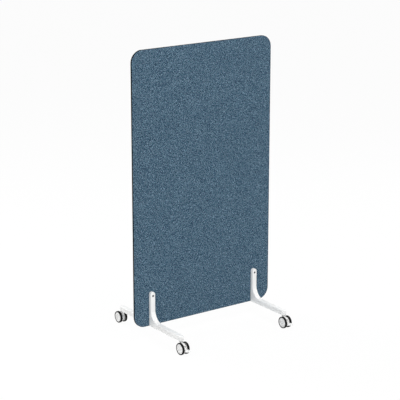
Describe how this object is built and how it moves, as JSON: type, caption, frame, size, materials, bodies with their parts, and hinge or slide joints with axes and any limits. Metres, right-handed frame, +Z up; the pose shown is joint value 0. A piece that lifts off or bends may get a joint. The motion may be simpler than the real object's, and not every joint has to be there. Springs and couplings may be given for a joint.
{
  "type": "rolling partition",
  "caption": "Tall thin fabric-covered board with rounded corners, held upright between L-shaped feet on braked twin-wheel casters, to divide a room and roll away.",
  "frame": {"origin": "on the floor, under the middle of the board", "axes": "+X along the board, +Y through the board to its rear, +Z up"},
  "size_m": [0.9, 0.7062, 1.572],
  "materials": {
    "core_board": "raw fibreboard",
    "heather_fabric": "woven heather, blue-grey",
    "charcoal_edge": "matte edge band",
    "white_paint": "satin white powder coat",
    "dark_steel": "dark zinc",
    "bright_steel": "bright zinc",
    "grey_plastic": "moulded light grey",
    "white_plastic": "moulded white",
    "pale_plastic": "moulded pale grey",
    "black_tyre": "soft black tread"
  },
  "bodies": {
    "partition": {"board_core": "core_board", "front_fabric": "heather_fabric", "rear_fabric": "heather_fabric", "edge_band": "charcoal_edge", "front_left_bracket": "white_paint", "front_right_bracket": "white_paint", "rear_left_bracket": "white_paint", "rear_right_bracket": "white_paint", "through_bolts": "dark_steel", "sleeve_nuts": "dark_steel", "locating_dowels": "bright_steel", "stem_sockets": "grey_plastic", "caster_stems": "bright_steel", "swivel_collars": "grey_plastic", "retaining_rings": "bright_steel"},
    "front_left_caster": {"front_left_body": "white_plastic", "front_left_axle": "bright_steel", "front_left_pedal_pin": "bright_steel"},
    "front_left_outer_roller": {"front_left_outer_wheel": "white_plastic", "front_left_outer_tyre": "black_tyre", "front_left_outer_cap": "pale_plastic"},
    "front_left_inner_roller": {"front_left_inner_wheel": "white_plastic", "front_left_inner_tyre": "black_tyre", "front_left_inner_cap": "pale_plastic"},
    "front_left_pedal": {"front_left_brake_pedal": "white_plastic"},
    "front_right_caster": {"front_right_body": "white_plastic", "front_right_axle": "bright_steel", "front_right_pedal_pin": "bright_steel"},
    "front_right_outer_roller": {"front_right_outer_wheel": "white_plastic", "front_right_outer_tyre": "black_tyre", "front_right_outer_cap": "pale_plastic"},
    "front_right_inner_roller": {"front_right_inner_wheel": "white_plastic", "front_right_inner_tyre": "black_tyre", "front_right_inner_cap": "pale_plastic"},
    "front_right_pedal": {"front_right_brake_pedal": "white_plastic"},
    "rear_left_caster": {"rear_left_body": "white_plastic", "rear_left_axle": "bright_steel", "rear_left_pedal_pin": "bright_steel"},
    "rear_left_outer_roller": {"rear_left_outer_wheel": "white_plastic", "rear_left_outer_tyre": "black_tyre", "rear_left_outer_cap": "pale_plastic"},
    "rear_left_inner_roller": {"rear_left_inner_wheel": "white_plastic", "rear_left_inner_tyre": "black_tyre", "rear_left_inner_cap": "pale_plastic"},
    "rear_left_pedal": {"rear_left_brake_pedal": "white_plastic"},
    "rear_right_caster": {"rear_right_body": "white_plastic", "rear_right_axle": "bright_steel", "rear_right_pedal_pin": "bright_steel"},
    "rear_right_outer_roller": {"rear_right_outer_wheel": "white_plastic", "rear_right_outer_tyre": "black_tyre", "rear_right_outer_cap": "pale_plastic"},
    "rear_right_inner_roller": {"rear_right_inner_wheel": "white_plastic", "rear_right_inner_tyre": "black_tyre", "rear_right_inner_cap": "pale_plastic"},
    "rear_right_pedal": {"rear_right_brake_pedal": "white_plastic"}
  },
  "joints": [
    {"name": "front_left_swivel", "type": "hinge", "parent": "partition", "child": "front_left_caster", "pos_m": [-0.342, -0.2835, 0.0325], "axis": [0, 0, 1], "continuous": true},
    {"name": "front_left_outer_spin", "type": "hinge", "parent": "front_left_caster", "child": "front_left_outer_roller", "pos_m": [-0.342, -0.2995, 0.0325], "axis": [1, 0, 0], "continuous": true},
    {"name": "front_left_inner_spin", "type": "hinge", "parent": "front_left_caster", "child": "front_left_inner_roller", "pos_m": [-0.342, -0.2995, 0.0325], "axis": [1, 0, 0], "continuous": true},
    {"name": "front_left_brake", "type": "hinge", "parent": "front_left_caster", "child": "front_left_pedal", "pos_m": [-0.342, -0.3205, 0.0325], "axis": [1, 0, 0], "range_deg": [0, 15]},
    {"name": "front_right_swivel", "type": "hinge", "parent": "partition", "child": "front_right_caster", "pos_m": [0.342, -0.2835, 0.0325], "axis": [0, 0, 1], "continuous": true},
    {"name": "front_right_outer_spin", "type": "hinge", "parent": "front_right_caster", "child": "front_right_outer_roller", "pos_m": [0.342, -0.2995, 0.0325], "axis": [1, 0, 0], "continuous": true},
    {"name": "front_right_inner_spin", "type": "hinge", "parent": "front_right_caster", "child": "front_right_inner_roller", "pos_m": [0.342, -0.2995, 0.0325], "axis": [1, 0, 0], "continuous": true},
    {"name": "front_right_brake", "type": "hinge", "parent": "front_right_caster", "child": "front_right_pedal", "pos_m": [0.342, -0.3205, 0.0325], "axis": [1, 0, 0], "range_deg": [0, 15]},
    {"name": "rear_left_swivel", "type": "hinge", "parent": "partition", "child": "rear_left_caster", "pos_m": [-0.342, 0.2835, 0.0325], "axis": [0, 0, 1], "continuous": true},
    {"name": "rear_left_outer_spin", "type": "hinge", "parent": "rear_left_caster", "child": "rear_left_outer_roller", "pos_m": [-0.342, 0.2995, 0.0325], "axis": [1, 0, 0], "continuous": true},
    {"name": "rear_left_inner_spin", "type": "hinge", "parent": "rear_left_caster", "child": "rear_left_inner_roller", "pos_m": [-0.342, 0.2995, 0.0325], "axis": [1, 0, 0], "continuous": true},
    {"name": "rear_left_brake", "type": "hinge", "parent": "rear_left_caster", "child": "rear_left_pedal", "pos_m": [-0.342, 0.3205, 0.0325], "axis": [-1, 0, 0], "range_deg": [0, 15]},
    {"name": "rear_right_swivel", "type": "hinge", "parent": "partition", "child": "rear_right_caster", "pos_m": [0.342, 0.2835, 0.0325], "axis": [0, 0, 1], "continuous": true},
    {"name": "rear_right_outer_spin", "type": "hinge", "parent": "rear_right_caster", "child": "rear_right_outer_roller", "pos_m": [0.342, 0.2995, 0.0325], "axis": [1, 0, 0], "continuous": true},
    {"name": "rear_right_inner_spin", "type": "hinge", "parent": "rear_right_caster", "child": "rear_right_inner_roller", "pos_m": [0.342, 0.2995, 0.0325], "axis": [1, 0, 0], "continuous": true},
    {"name": "rear_right_brake", "type": "hinge", "parent": "rear_right_caster", "child": "rear_right_pedal", "pos_m": [0.342, 0.3205, 0.0325], "axis": [-1, 0, 0], "range_deg": [0, 15]}
  ]
}
